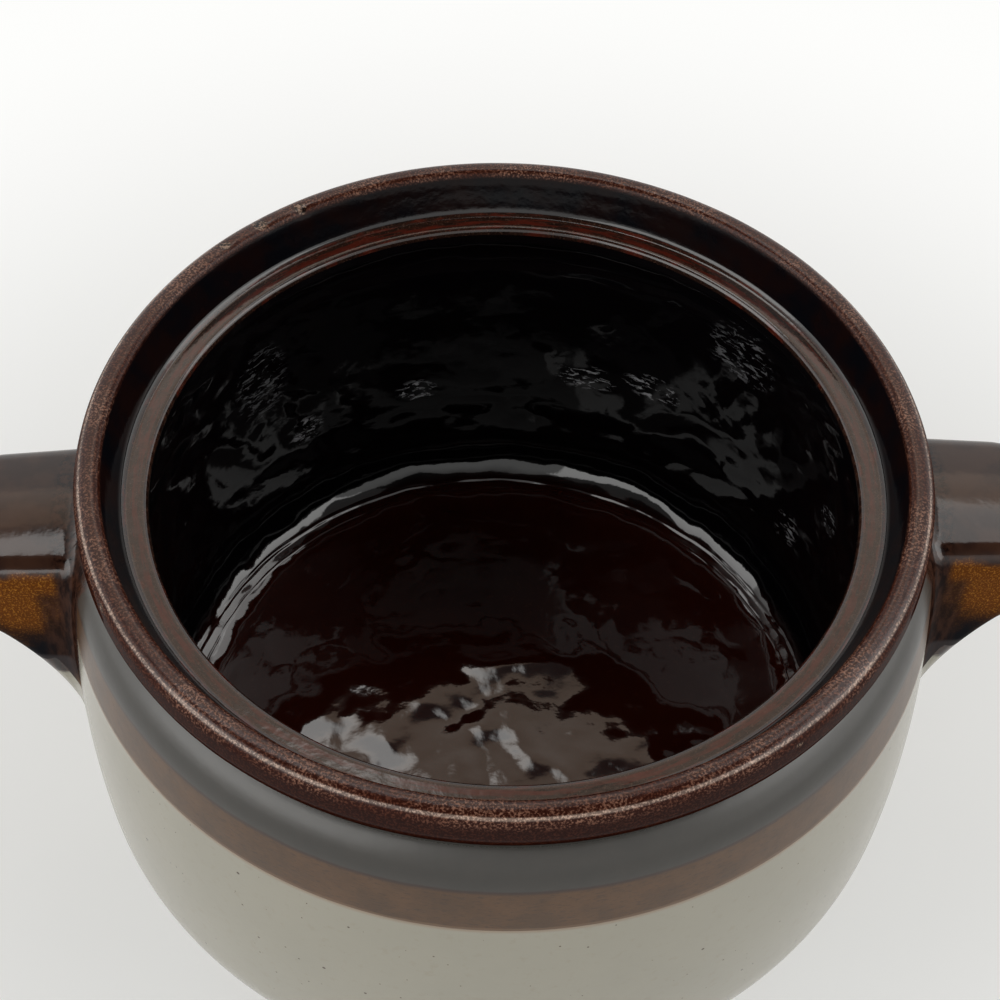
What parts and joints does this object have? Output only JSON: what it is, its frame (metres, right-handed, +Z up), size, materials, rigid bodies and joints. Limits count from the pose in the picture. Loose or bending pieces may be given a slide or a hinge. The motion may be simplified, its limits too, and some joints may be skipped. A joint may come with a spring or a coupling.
{
  "type": "bean pot",
  "caption": "Open round stoneware pot with a rolled rim, an inner ledge for a lid, and a solid lug handle on each side, brown glazed above and white below.",
  "frame": {"origin": "centre of the foot, on the surface that the pot stands on", "axes": "+Z up along the axis of the pot; the two handles point along +X and -X"},
  "size_m": [0.232, 0.1828, 0.112],
  "materials": {
    "stoneware_clay": "fired stoneware, bare and matt",
    "brown_slip_glaze": "glossy dark brown slip glaze",
    "white_glaze": "glossy off-white glaze with iron specks"
  },
  "bodies": {
    "root": {"pot_body": "stoneware_clay", "left_handle": "stoneware_clay", "right_handle": "stoneware_clay", "left_handle_luting_slip": "stoneware_clay", "right_handle_luting_slip": "stoneware_clay", "liner_glaze": "brown_slip_glaze", "brown_glaze": "brown_slip_glaze", "left_handle_brown_glaze": "brown_slip_glaze", "right_handle_brown_glaze": "brown_slip_glaze", "white_glaze": "white_glaze", "left_handle_white_glaze": "white_glaze", "right_handle_white_glaze": "white_glaze"}
  },
  "joints": []
}
